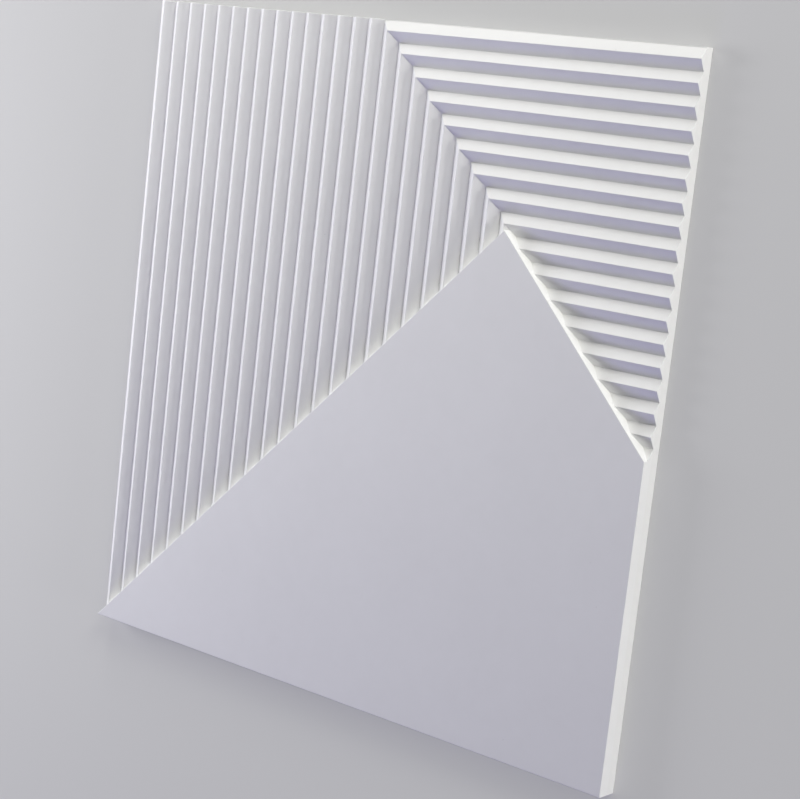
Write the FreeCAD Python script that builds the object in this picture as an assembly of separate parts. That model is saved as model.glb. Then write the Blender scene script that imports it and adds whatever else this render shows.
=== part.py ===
import FreeCAD, Part
import math
import os

# A square cast gypsum wall panel with three fields in its front: vertical V ribs on the
# left, horizontal V ribs in the upper right corner, and one plain raised face below them.
# Millimetres. The origin is the middle of the flat back, +Z is the front of the relief,
# +Y the top edge on the wall and +X the right edge.

# Panel
panel_side = 600.0
web_thickness = 9.0        # solid plaster left under the bottom of the grooves
groove_depth = 6.2         # from a rib's crest down to the groove beside it
face_step = 4.8            # from a rib's crest up to the plain raised face

# Ribs
rib_pitch = 18.43          # groove to groove
crest_offset = 8.8         # from a groove to the crest that follows it
first_groove = 0.6         # from the left or top edge in to the first groove
ribs_before_mitre = 15     # ribs along the top edge before the mitre starts

# Arrises, as the mould leaves them
crest_radius = 0.5
groove_radius = 0.4
face_radius = 0.6

# What follows from those
half = panel_side / 2
groove_height = web_thickness
crest_height = groove_height + groove_depth
thickness = crest_height + face_step
mitre_start = ribs_before_mitre * rib_pitch
bottom_left = FreeCAD.Vector(-half, -half, 0)
bottom_right = FreeCAD.Vector(half, -half, 0)
top_left = FreeCAD.Vector(-half, half, 0)
top_right = FreeCAD.Vector(half, half, 0)

# The mitre runs at 45 degrees from the top edge to the right edge. The diagonal from the
# bottom left corner meets it at the apex, where all three fields come together.
mitre_top = top_left + FreeCAD.Vector(mitre_start, 0, 0)
mitre_right = bottom_right + FreeCAD.Vector(0, mitre_start, 0)
apex = (mitre_top + mitre_right) / 2

up = FreeCAD.Vector(0, 0, 1)
rightward = FreeCAD.Vector(1, 0, 0)
upward = FreeCAD.Vector(0, 1, 0)


def prism(outline, height):
    """A solid on the back plane with the given corners."""
    wire = Part.makePolygon(outline + [outline[0]])
    return Part.Face(wire).extrude(up * height)


def rounded_corner(before, corner, after, radius):
    """The arc that rounds one corner of a profile, tangent to both of its sides."""
    way_in = (corner - before).normalize()
    way_out = (after - corner).normalize()
    half_turn = way_in.getAngle(way_out) / 2
    tangent = radius * math.tan(half_turn)
    inward = (way_out - way_in).normalize()
    sagitta = radius / math.cos(half_turn) - radius
    return Part.Arc(corner - way_in * tangent, corner + inward * sagitta, corner + way_out * tangent)


def ribbed_blank(start, across, along, span):
    """Ribs side by side from a groove at start, each as long as the panel is wide.

    One rib more than the span needs is made on each side, for the field's outline to trim.
    """
    last = math.ceil(span / rib_pitch) + 1
    zigzag = []
    for rib in range(-1, last):
        zigzag.append((rib * rib_pitch, groove_height, groove_radius))
        zigzag.append((rib * rib_pitch + crest_offset, crest_height, crest_radius))
    corners = [start + across * offset + up * height for offset, height, radius in zigzag]
    edges = []
    here = corners[0]
    for index in range(1, len(corners) - 1):
        arc = rounded_corner(corners[index - 1], corners[index], corners[index + 1], zigzag[index][2])
        edges.append(Part.LineSegment(here, arc.StartPoint).toShape())
        edges.append(arc.toShape())
        here = arc.EndPoint
    first_foot = start + across * zigzag[0][0]
    last_foot = start + across * zigzag[-1][0]
    edges.append(Part.LineSegment(here, corners[-1]).toShape())
    edges.append(Part.LineSegment(corners[-1], last_foot).toShape())
    edges.append(Part.LineSegment(last_foot, first_foot).toShape())
    edges.append(Part.LineSegment(first_foot, corners[0]).toShape())
    return Part.Face(Part.Wire(edges)).extrude(along * panel_side)


def upright_ribs():
    """The left field: ribs that stand, from the left edge to the apex."""
    start = bottom_left + rightward * first_groove
    blank = ribbed_blank(start, rightward, upward, apex.x + half)
    return blank.common(prism([bottom_left, apex, mitre_top, top_left], thickness))


def level_ribs():
    """The upper right field: ribs that lie level, from the top edge down to the mitre's end."""
    start = top_left - upward * first_groove
    blank = ribbed_blank(start, -upward, rightward, panel_side - mitre_start)
    return blank.common(prism([mitre_top, mitre_right, top_right], thickness))


def raised_face():
    """The plain field, which stands above both rib fields with its front edges eased."""
    block = prism([bottom_left, bottom_right, mitre_right, apex], thickness)
    front_edges = [edge for edge in block.Edges if edge.CenterOfMass.z > thickness - face_radius]
    return block.makeFillet(face_radius, front_edges)


def panel():
    """The whole casting, one solid."""
    return raised_face().fuse([upright_ribs(), level_ribs()]).removeSplitter()


os.makedirs("parts", exist_ok=True)
casting = panel().Solids[0]
casting.exportStep("parts/panel.step")
print("thickness", round(thickness, 2), "mm, volume", round(casting.Volume / 1e6, 3), "litres")
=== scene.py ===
from math import atan2, ceil, copysign, cos, hypot, pi, radians, sin, sqrt, tan

import bmesh
import bpy
from mathutils import Matrix, Vector, noise


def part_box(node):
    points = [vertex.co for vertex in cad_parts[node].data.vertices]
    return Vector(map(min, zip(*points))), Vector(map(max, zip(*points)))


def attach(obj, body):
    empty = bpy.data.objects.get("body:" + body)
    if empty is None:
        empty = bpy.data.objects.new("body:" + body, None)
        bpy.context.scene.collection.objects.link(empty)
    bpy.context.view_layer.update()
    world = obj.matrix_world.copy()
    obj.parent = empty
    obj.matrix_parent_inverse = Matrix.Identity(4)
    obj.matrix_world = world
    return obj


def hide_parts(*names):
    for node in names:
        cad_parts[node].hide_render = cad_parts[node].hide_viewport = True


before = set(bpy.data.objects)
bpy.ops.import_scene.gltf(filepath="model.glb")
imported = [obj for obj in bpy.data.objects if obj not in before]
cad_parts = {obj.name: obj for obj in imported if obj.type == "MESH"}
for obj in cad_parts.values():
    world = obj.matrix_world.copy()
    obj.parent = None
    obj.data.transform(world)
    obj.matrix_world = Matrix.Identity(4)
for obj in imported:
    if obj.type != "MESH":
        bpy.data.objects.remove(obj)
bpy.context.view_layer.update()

# The panel lies on its back on a pale floor, in metres: +X its right edge, +Y its top edge.
LOW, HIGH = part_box("panel")
SIDE = HIGH.x - LOW.x
THICKNESS = HIGH.z

# The relief, as the casting has it
WEB = 0.009
GROOVE_DEPTH = 0.0062
RIB_PITCH = 0.01843
CREST_OFFSET = 0.0088
FIRST_GROOVE = 0.0006
RIBS_BEFORE_MITRE = 15

# Arrises
CREST_RADIUS = 0.0005
GROOVE_RADIUS = 0.0004
FACE_RADIUS = 0.0006
RIM_RADIUS = 0.0004

# Where the fields meet, measured from the left and the bottom edge
MITRE_START = RIBS_BEFORE_MITRE * RIB_PITCH
MITRE_SUM = SIDE + MITRE_START
APEX = MITRE_SUM / 2

# How finely the mesh is divided
ARC_STEPS = 4
SLOPE_STEPS = 3
CELLS = 100
SNAP = 1e-6
WELD = 2e-6
NEAREST_LINE = 1e-5
SHARP_ANGLE = radians(35)
EVEN_WEIGHT = 90

# How far the plaster strays from true, the (waves per metre, share) of each swell, and their draw
WARP = 0.00006
WARP_SWELLS = ((6.0, 1.0), (19.0, 0.35))
WARP_SEED = 7

# Drag marks on the struck back
DRAG_DEPTH = 0.00025
DRAG_LENGTH, DRAG_WIDTH = 0.30, 0.028

# Camera, at the photograph's viewing angle
CAMERA_PLACE = (1.116, 0.2404, 1.3564)
CAMERA_TURN = (-3.419, 39.273, 8.325)
LENS_MM = 90.5
SENSOR_MM = 36.0

# Colours, linear
GYPSUM = (0.88, 0.88, 0.873, 1.0)
GYPSUM_GREYER = (0.86, 0.86, 0.852, 1.0)
# Painted shade, low in the grooves
GYPSUM_GROOVE_SHADE = (0.80, 0.795, 0.775, 1.0)
GYPSUM_STRUCK = (0.74, 0.735, 0.715, 1.0)
# Painted shade inside the pinholes
PINHOLE_PAINTED_SHADE_GREY = (0.42, 0.42, 0.41, 1.0)
FLOOR_GREY = (0.66, 0.66, 0.66, 1.0)
BACKDROP_GREY = (0.56, 0.56, 0.56, 1.0)

# Clouds and mottle in the gypsum, in waves per metre
CLOUD_SCALE, CLOUD_DETAIL = 11.0, 4.0
MOTTLE_SCALE, MOTTLE_DETAIL = 75.0, 3.0
CLOUD_SHARE = 0.6

# The stretch of a noise that is carried to the ends of its range
TONE_SPAN = (0.35, 0.65)
NOISE_SPAN = (0.3, 0.7)

# How far up a face looks, from -1 to 1: back or side up to the first, and no longer past the second
BACK_SPAN = (-0.8, -0.4)
SIDE_SPAN = (0.1, 0.5)

# Painted shade: a darker, warmer tone towards the bottom of the grooves and on everything lower than
# them, thinner in places
GROOVE_SHADE_RISE = 0.0012
GROOVE_SHADE_MOST = 0.35
GROOVE_SHADE_THINNEST = 0.4

# Pinholes: cells per metre, the draw that gives a cell one, its reach in cells, its depth and the share
# of painted shade in it
PINHOLE_CELLS = 95.0
PINHOLE_DRAW = (0.93, 0.95)
PINHOLE_DRAW_ON_SIDES = 0.12
PINHOLE_REACH = (0.018, 0.034)
PINHOLE_DEPTH = 0.00012
PINHOLE_PAINTED_SHADE_SHARE = 0.7

# Streaks, grit and grain, in waves per metre, with their heights
STREAK_SCALES = (6.0, 60.0, 6.0)
STREAK_FAINTEST = 0.55
GRIT_SCALES = (90.0, 700.0, 90.0)
GRIT_HEIGHT = 0.00018
DRAGGED_DETAIL = 4.0
GRAIN_SCALE, GRAIN_DETAIL = 1300.0, 3.0
GRAIN_HEIGHT = 0.000012

# Roughness and gloss
ROUGHNESS = 0.58
ROUGHER_ON_BACK = 0.3
ROUGHER_IN_MOTTLE = 0.06
GYPSUM_GLOSS = 0.4

# The floor
FLOOR_HALF = 6.0
FLOOR_ROUGHNESS = 0.9
BACKDROP_SHARE = 0.5

# Lamps: azimuth in degrees from +X towards +Y, degrees above the floor, metres from the panel's
# middle, metres square, watts, colour
LAMPS = {
    "left": (175, 22, 1.6, 0.6, 18.2, (0.96, 0.96, 1.0)),
    "near_top": (100, 25, 1.3, 0.5, 4.6, (1.0, 1.0, 0.94)),
    "top": (90, 10, 3.5, 1.0, 22.0, (0.97, 0.97, 1.0)),
    "upper_right": (46, 24, 3.5, 1.0, 50.0, (1.0, 1.0, 0.92)),
    "right": (354, 6, 3.5, 0.7, 42.0, (1.0, 1.0, 0.98)),
    "below": (270, 20, 3.5, 1.0, 28.5, (0.48, 0.44, 1.0)),
}
DIM_AIR = (0.022, 0.02, 0.05, 1.0)

# The fields that the casting's faces are marked with
UPRIGHT, LEVEL, FACE, WALL, RIM, BACK = range(1, 7)


def rounded_corner(before, corner, after, radius):
    """Points round one corner of a section, on an arc tangent to both of its sides."""
    way_in = (corner - before).normalized()
    way_out = (after - corner).normalized()
    turn = atan2(way_in.cross(way_out), way_in.dot(way_out))
    inward = Vector((-way_in.y, way_in.x)) * copysign(radius, turn)
    centre = corner - way_in * radius * tan(abs(turn) / 2) + inward
    spokes = [Matrix.Rotation(turn * step / ARC_STEPS, 2) @ inward for step in range(ARC_STEPS + 1)]
    return [centre - spoke for spoke in spokes]


def rib_section(length):
    """The ribs' section from a first edge out to length: points (distance, height), arrises rounded."""
    corners = []
    for rib in range(-1, ceil(length / RIB_PITCH) + 1):
        groove = FIRST_GROOVE + rib * RIB_PITCH
        corners.append((Vector((groove, WEB)), GROOVE_RADIUS))
        corners.append((Vector((groove + CREST_OFFSET, WEB + GROOVE_DEPTH)), CREST_RADIUS))
    points = []
    for (before, _), (corner, radius), (after, _) in zip(corners, corners[1:], corners[2:]):
        arc = rounded_corner(before, corner, after, radius)
        if points:
            slope_end = points[-1]
            points += [slope_end.lerp(arc[0], step / SLOPE_STEPS) for step in range(1, SLOPE_STEPS)]
        points += arc
    return points


def height_at(section, distance):
    """The height of a section at one distance from its first edge."""
    near, far = next(pair for pair in zip(section, section[1:]) if pair[0].x <= distance <= pair[1].x)
    return near.lerp(far, (distance - near.x) / (far.x - near.x)).y


def rib_lines(length, stops):
    """(distance, height) of every line that runs along the ribs, with the stops among them."""
    section = rib_section(length)
    lines = [(point.x, point.y) for point in section
             if 0 < point.x < length and min(abs(point.x - stop) for stop in stops) > NEAREST_LINE]
    return sorted(lines + [(stop, height_at(section, stop)) for stop in stops])


class Casting:
    """The panel's mesh while it is built, measured from the bottom left corner of its back."""

    def __init__(self):
        self.mesh = bmesh.new()
        self.field = self.mesh.faces.layers.int.new("field")

    def plate(self, field, corners):
        """Adds one flat face of a field."""
        face = self.mesh.faces.new([self.mesh.verts.new(corner) for corner in corners])
        face[self.field] = field

    def weld(self):
        """Joins the corners that the flat faces share."""
        bmesh.ops.remove_doubles(self.mesh, verts=self.mesh.verts, dist=WELD)

    def cut(self, fields, point, normal):
        """Divides the faces of some fields along a plane, and takes nothing away."""
        faces = [face for face in self.mesh.faces if face[self.field] in fields]
        edges = dict.fromkeys(edge for face in faces for edge in face.edges)
        verts = dict.fromkeys(vert for face in faces for vert in face.verts)
        bmesh.ops.bisect_plane(
            self.mesh, geom=[*faces, *edges, *verts], dist=SNAP, plane_co=point, plane_no=normal
        )


def lay_front(casting, upright, level):
    """The two rib fields and the raised face."""
    for (near, near_height), (far, far_height) in zip(upright, upright[1:]):
        near_end = min(SIDE, MITRE_SUM - near)
        far_end = min(SIDE, MITRE_SUM - far)
        casting.plate(UPRIGHT, [(near, near, near_height), (far, far, far_height),
                                (far, far_end, far_height), (near, near_end, near_height)])
    for (near, near_height), (far, far_height) in zip(level, level[1:]):
        casting.plate(LEVEL, [(MITRE_START + far, SIDE - far, far_height),
                              (SIDE, SIDE - far, far_height),
                              (SIDE, SIDE - near, near_height),
                              (MITRE_START + near, SIDE - near, near_height)])
    casting.plate(FACE, [(0, 0, THICKNESS), (SIDE, 0, THICKNESS),
                         (SIDE, MITRE_START, THICKNESS), (APEX, APEX, THICKNESS)])


def lay_walls(casting, upright, level):
    """The raised face's two walls, the panel's four sides and its back."""
    foot = [(x, x, height) for x, height in upright]
    casting.plate(WALL, [*foot, (APEX, APEX, THICKNESS), (0, 0, THICKNESS)])
    foot = [(MITRE_START + y, SIDE - y, height) for y, height in level if y > SIDE - APEX - SNAP]
    casting.plate(WALL, [*foot, (SIDE, MITRE_START, THICKNESS), (APEX, APEX, THICKNESS)])
    first = upright[0][1]
    casting.plate(RIM, [(0, 0, 0), (0, 0, first), (0, SIDE, first), (0, SIDE, 0)])
    casting.plate(RIM, [(0, 0, 0), (SIDE, 0, 0), (SIDE, 0, THICKNESS),
                        (0, 0, THICKNESS), (0, 0, first)])
    head = [(x, SIDE, height) for x, height in upright if x < MITRE_START + SNAP]
    casting.plate(RIM, [(0, SIDE, 0), *head, (SIDE, SIDE, first), (SIDE, SIDE, 0)])
    edge = [(SIDE, SIDE - y, height) for y, height in level]
    casting.plate(RIM, [(SIDE, SIDE, 0), *edge, (SIDE, MITRE_START, THICKNESS),
                        (SIDE, 0, THICKNESS), (SIDE, 0, 0)])
    casting.plate(BACK, [(0, 0, 0), (0, SIDE, 0), (SIDE, SIDE, 0), (SIDE, 0, 0)])


def rim_steps(radius):
    """How far in from a rim its rounding is divided."""
    return [radius * (1 - cos(pi / 2 * step / ARC_STEPS)) for step in range(1, ARC_STEPS + 1)]


def divide(casting):
    """Divides the faces along their rims, and then all of them into cells."""
    right, top = Vector((1, 0, 0)), Vector((0, 1, 0))
    apex, far_corner = Vector((APEX, APEX, 0)), Vector((SIDE, SIDE, 0))
    along_mitre, up_diagonal = (right - top).normalized(), (right + top).normalized()
    for step in rim_steps(FACE_RADIUS):
        casting.cut({FACE}, right * (SIDE - step), right)
        casting.cut({FACE}, top * step, top)
        casting.cut({FACE}, along_mitre * step, along_mitre)
        casting.cut({FACE}, apex - up_diagonal * step, up_diagonal)
    for step in rim_steps(RIM_RADIUS):
        casting.cut({UPRIGHT, BACK}, right * step, right)
        casting.cut({LEVEL, BACK}, far_corner - right * step, right)
        casting.cut({UPRIGHT, LEVEL, BACK}, far_corner - top * step, top)
        casting.cut({BACK}, top * step, top)
    for cell in range(1, CELLS):
        casting.cut({LEVEL, FACE, WALL, RIM, BACK}, far_corner * cell / CELLS, right)
    for cell in range(1, CELLS):
        casting.cut({UPRIGHT, FACE, WALL, RIM, BACK}, far_corner * cell / CELLS, top)
    many_sided = [face for face in casting.mesh.faces if len(face.verts) > 4]
    bmesh.ops.triangulate(casting.mesh, faces=many_sided)


def fall(inset, radius):
    """How far a rounded rim has fallen at a distance in from its edge."""
    return radius - sqrt(radius ** 2 - (radius - inset) ** 2) if inset < radius else 0.0


def ease_rims(casting):
    """Rounds the rims of the front and the back, and the four upright corners."""
    on_ribs = {vert for face in casting.mesh.faces if face[casting.field] in (UPRIGHT, LEVEL)
               for vert in face.verts}
    for vert in casting.mesh.verts:
        x, y, z = vert.co
        in_x, in_y = min(x, SIDE - x), min(y, SIDE - y)
        inset = max(0.0, min(in_x, in_y))
        if z > THICKNESS - SNAP:
            to_walls = min(x - y, MITRE_SUM - x - y) / sqrt(2)
            vert.co.z -= fall(max(0.0, min(inset, to_walls)), FACE_RADIUS)
        elif z < SNAP:
            vert.co.z += fall(inset, RIM_RADIUS)
        elif vert in on_ribs:
            vert.co.z -= fall(max(0.0, min(in_x, SIDE - y)), RIM_RADIUS)
        if max(in_x, in_y) < RIM_RADIUS:
            reach_x, reach_y = RIM_RADIUS - in_x, RIM_RADIUS - in_y
            pull = 1 - (RIM_RADIUS - inset) / hypot(reach_x, reach_y)
            vert.co.x += copysign(reach_x * pull, SIDE / 2 - x)
            vert.co.y += copysign(reach_y * pull, SIDE / 2 - y)


def stray(place):
    """How far the plaster strays from true at one place."""
    swells = (noise.noise_vector(place * scale) * share for scale, share in WARP_SWELLS)
    return sum(swells, Vector()) * WARP


def struck_back(place):
    """The shallow drag marks where the back was struck off level."""
    drag = Vector((place.x / DRAG_LENGTH, place.y / DRAG_WIDTH, 0.0))
    return DRAG_DEPTH * (0.5 + 0.5 * noise.noise(drag))


def age_surface(casting):
    """Lets the surfaces stray a little, inside the panel's box, and marks the back."""
    noise.seed_set(WARP_SEED)
    middle = Vector((SIDE / 2, SIDE / 2, 0))
    for vert in casting.mesh.verts:
        place = vert.co.copy()
        vert.co = middle + (place - middle) * (1 - 2 * WARP / SIDE) + stray(place)
        if place.z < RIM_RADIUS / 2:
            vert.co.z += struck_back(place)
        vert.co.x = min(max(vert.co.x, 0.0), SIDE)
        vert.co.y = min(max(vert.co.y, 0.0), SIDE)
        vert.co.z = min(max(vert.co.z - WARP * place.z / THICKNESS, 0.0), THICKNESS)


def cast_panel():
    """The whole casting as one closed mesh."""
    length = SIDE - MITRE_START
    level = rib_lines(length, [0, SIDE - APEX, length])
    upright = rib_lines(APEX, [0, MITRE_START, APEX])
    casting = Casting()
    lay_front(casting, upright, level)
    lay_walls(casting, upright, level)
    casting.weld()
    divide(casting)
    ease_rims(casting)
    age_surface(casting)
    bmesh.ops.recalc_face_normals(casting.mesh, faces=casting.mesh.faces)
    casting.mesh.transform(Matrix.Translation(LOW))
    data = bpy.data.meshes.new("gypsum_panel")
    casting.mesh.to_mesh(data)
    casting.mesh.free()
    data.shade_smooth()
    data.set_sharp_from_angle(angle=SHARP_ANGLE)
    piece = bpy.data.objects.new("gypsum_panel", data)
    bpy.context.scene.collection.objects.link(piece)
    even = piece.modifiers.new("even_normals", "WEIGHTED_NORMAL")
    even.keep_sharp = True
    even.weight = EVEN_WEIGHT
    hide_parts("panel")
    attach(piece, "root")
    return piece


class Socket:
    """One output of a shader node. Arithmetic on it adds Math nodes."""

    def __init__(self, finish, output):
        self.finish = finish
        self.output = output

    def maths(self, operation, first, second):
        """Adds one Math node."""
        return self.finish.add("ShaderNodeMath", {"operation": operation}, {0: first, 1: second})

    def __add__(self, other):
        return self.maths("ADD", self, other)

    def __radd__(self, other):
        return self.maths("ADD", other, self)

    def __sub__(self, other):
        return self.maths("SUBTRACT", self, other)

    def __rsub__(self, other):
        return self.maths("SUBTRACT", other, self)

    def __mul__(self, other):
        return self.maths("MULTIPLY", self, other)

    def __rmul__(self, other):
        return self.maths("MULTIPLY", other, self)


class Finish:
    """A node material built up by add()."""

    def __init__(self, name):
        self.material = bpy.data.materials.new(name)
        self.material.use_nodes = True
        self.tree = self.material.node_tree
        self.tree.nodes.clear()

    @classmethod
    def of_world(cls, world):
        """The same way of adding nodes, for a world."""
        finish = cls.__new__(cls)
        finish.tree = world.node_tree
        finish.tree.nodes.clear()
        return finish

    def add(self, kind, settings, inputs, output=0):
        """Adds a node: its settings first, then each input's value or link. Gives one output."""
        node = self.tree.nodes.new(kind)
        for name, value in settings.items():
            setattr(node, name, value)
        for name, value in inputs.items():
            if isinstance(value, Socket):
                self.tree.links.new(value.output, node.inputs[name])
            else:
                node.inputs[name].default_value = value
        return Socket(self, node.outputs[output]) if node.outputs else None

    def noise(self, place, scale, detail):
        """A noise that varies over the surface, around a half."""
        return self.add("ShaderNodeTexNoise", {}, {"Vector": place, "Scale": scale, "Detail": detail})

    def ramp(self, value, low, high, at_low, at_high):
        """A value carried from one range to another, and held at its ends."""
        return self.add("ShaderNodeMapRange", {}, {0: value, 1: low, 2: high, 3: at_low, 4: at_high})

    def stretch(self, place, scales):
        """Places scaled by a different amount along each axis."""
        return self.add("ShaderNodeVectorMath", {"operation": "MULTIPLY"}, {0: place, 1: scales})

    def mix(self, factor, first, second):
        """One colour laid over another."""
        return self.add("ShaderNodeMix", {"data_type": "RGBA"}, {0: factor, 6: first, 7: second}, 2)

    def surface(self, shader):
        """Ends the material with its shader."""
        self.add("ShaderNodeOutputMaterial", {}, {"Surface": shader})
        return self.material


def cast_gypsum():
    """White cast gypsum: smooth from the mould, with a few pinholes, and coarser on its struck back."""
    finish = Finish("cast_gypsum")
    place = finish.add("ShaderNodeTexCoord", {}, {}, "Object")
    facing = finish.add("ShaderNodeTexCoord", {}, {}, "Normal")
    height = finish.add("ShaderNodeSeparateXYZ", {}, {0: place}, "Z")
    upward = finish.add("ShaderNodeSeparateXYZ", {}, {0: facing}, "Z")
    on_back = finish.ramp(upward, *BACK_SPAN, 1.0, 0.0)
    on_sides = finish.ramp(upward, *SIDE_SPAN, 1.0, 0.0)

    cloud = finish.noise(place, CLOUD_SCALE, CLOUD_DETAIL)
    mottle = finish.noise(place, MOTTLE_SCALE, MOTTLE_DETAIL)
    clouded = cloud * CLOUD_SHARE + mottle * (1 - CLOUD_SHARE)
    tone = finish.mix(finish.ramp(clouded, *TONE_SPAN, 0.0, 1.0), GYPSUM_GREYER, GYPSUM)
    # Painted shade, darker and warmer towards the groove bottoms and below them, thinned by the mottle
    low_in_groove = finish.ramp(height, WEB, WEB + GROOVE_SHADE_RISE, GROOVE_SHADE_MOST, 0.0)
    groove_shade = low_in_groove * finish.ramp(mottle, *NOISE_SPAN, GROOVE_SHADE_THINNEST, 1.0)
    tone = finish.mix(groove_shade, tone, GYPSUM_GROOVE_SHADE)

    cells = {"Vector": place, "Scale": PINHOLE_CELLS}
    reach = finish.add("ShaderNodeTexVoronoi", {}, cells, "Distance")
    cell_colour = finish.add("ShaderNodeTexVoronoi", {}, cells, "Color")
    draw = finish.add("ShaderNodeSeparateColor", {}, {0: cell_colour})
    chosen = finish.ramp(draw + PINHOLE_DRAW_ON_SIDES * on_sides, *PINHOLE_DRAW, 0.0, 1.0)
    pinholes = finish.ramp(reach, *PINHOLE_REACH, 1.0, 0.0) * chosen
    # Painted shade: each pinhole's colour darkened towards grey
    tone = finish.mix(PINHOLE_PAINTED_SHADE_SHARE * pinholes, tone, PINHOLE_PAINTED_SHADE_GREY)
    streaks = finish.noise(finish.stretch(place, STREAK_SCALES), 1.0, DRAGGED_DETAIL)
    struck = on_back * finish.ramp(streaks, *NOISE_SPAN, STREAK_FAINTEST, 1.0)
    tone = finish.mix(struck, tone, GYPSUM_STRUCK)

    grain = finish.noise(place, GRAIN_SCALE, GRAIN_DETAIL)
    grit = finish.noise(finish.stretch(place, GRIT_SCALES), 1.0, DRAGGED_DETAIL)
    relief = grain * GRAIN_HEIGHT - pinholes * PINHOLE_DEPTH + on_back * grit * GRIT_HEIGHT
    normal = finish.add("ShaderNodeBump", {}, {"Height": relief, "Distance": 1.0, "Strength": 1.0})
    roughness = ROUGHNESS + ROUGHER_ON_BACK * on_back + ROUGHER_IN_MOTTLE * mottle
    shader = finish.add("ShaderNodeBsdfPrincipled", {}, {
        "Base Color": tone,
        "Roughness": roughness,
        "Specular IOR Level": GYPSUM_GLOSS,
        "Normal": normal,
    })
    return finish.surface(shader)


def seen_directly(finish):
    """1 where the camera sees a surface, straight or through a reflection."""
    rays = [finish.add("ShaderNodeLightPath", {}, {}, f"Is {kind} Ray")
            for kind in ("Camera", "Glossy", "Transmission")]
    return finish.add("ShaderNodeClamp", {}, {0: rays[0] + rays[1] + rays[2]})


def plain_floor():
    """Pale and matt. What the camera sees of it is evened out, and keeps the panel's shadow."""
    finish = Finish("pale_floor")
    matt = {"Base Color": FLOOR_GREY, "Roughness": FLOOR_ROUGHNESS}
    lit = finish.add("ShaderNodeBsdfPrincipled", {}, matt)
    even = finish.add("ShaderNodeEmission", {}, {"Color": BACKDROP_GREY})
    share = BACKDROP_SHARE * seen_directly(finish)
    return finish.surface(finish.add("ShaderNodeMixShader", {}, {0: share, 1: lit, 2: even}))


def add_floor():
    """The floor that the panel lies on. It is part of the stage."""
    mesh = bpy.data.meshes.new("floor")
    near, far = -FLOOR_HALF, FLOOR_HALF
    corners = [(near, near, 0), (far, near, 0), (far, far, 0), (near, far, 0)]
    mesh.from_pydata(corners, [], [(0, 1, 2, 3)])
    mesh.materials.append(plain_floor())
    floor = bpy.data.objects.new("floor", mesh)
    bpy.context.scene.collection.objects.link(floor)


def add_camera():
    """The camera looks down on the panel as the photograph does."""
    data = bpy.data.cameras.new("camera")
    data.lens = LENS_MM
    data.sensor_width = SENSOR_MM
    camera = bpy.data.objects.new("camera", data)
    camera.location = CAMERA_PLACE
    camera.rotation_euler = [radians(angle) for angle in CAMERA_TURN]
    bpy.context.scene.collection.objects.link(camera)
    bpy.context.scene.camera = camera


def add_softbox(name, azimuth, elevation, distance, size, watts, colour):
    """A square lamp that faces the panel's middle, and that the camera doesn't see."""
    turn, rise = radians(azimuth), radians(elevation)
    flat = distance * cos(rise)
    place = Vector((flat * cos(turn), flat * sin(turn), distance * sin(rise)))
    data = bpy.data.lights.new(name, "AREA")
    data.shape = "SQUARE"
    data.size = size
    data.energy = watts
    data.color = colour
    lamp = bpy.data.objects.new(name, data)
    lamp.location = place
    lamp.rotation_euler = (-place).to_track_quat("-Z", "Y").to_euler()
    lamp.visible_camera = False
    bpy.context.scene.collection.objects.link(lamp)


def light_studio():
    """The world's dim air, the backdrop that the camera sees in its place, and the lamps."""
    scene = bpy.context.scene
    scene.view_settings.view_transform = "Standard"
    world = bpy.data.worlds.new("studio")
    world.use_nodes = True
    air = Finish.of_world(world)
    light = air.add("ShaderNodeBackground", {}, {"Color": DIM_AIR})
    backdrop = air.add("ShaderNodeBackground", {}, {"Color": BACKDROP_GREY})
    seen = air.add("ShaderNodeMixShader", {}, {0: seen_directly(air), 1: light, 2: backdrop})
    air.add("ShaderNodeOutputWorld", {}, {"Surface": seen})
    scene.world = world
    for name, settings in LAMPS.items():
        add_softbox(name, *settings)


panel = cast_panel()
panel.data.materials.append(cast_gypsum())
add_floor()
add_camera()
light_studio()
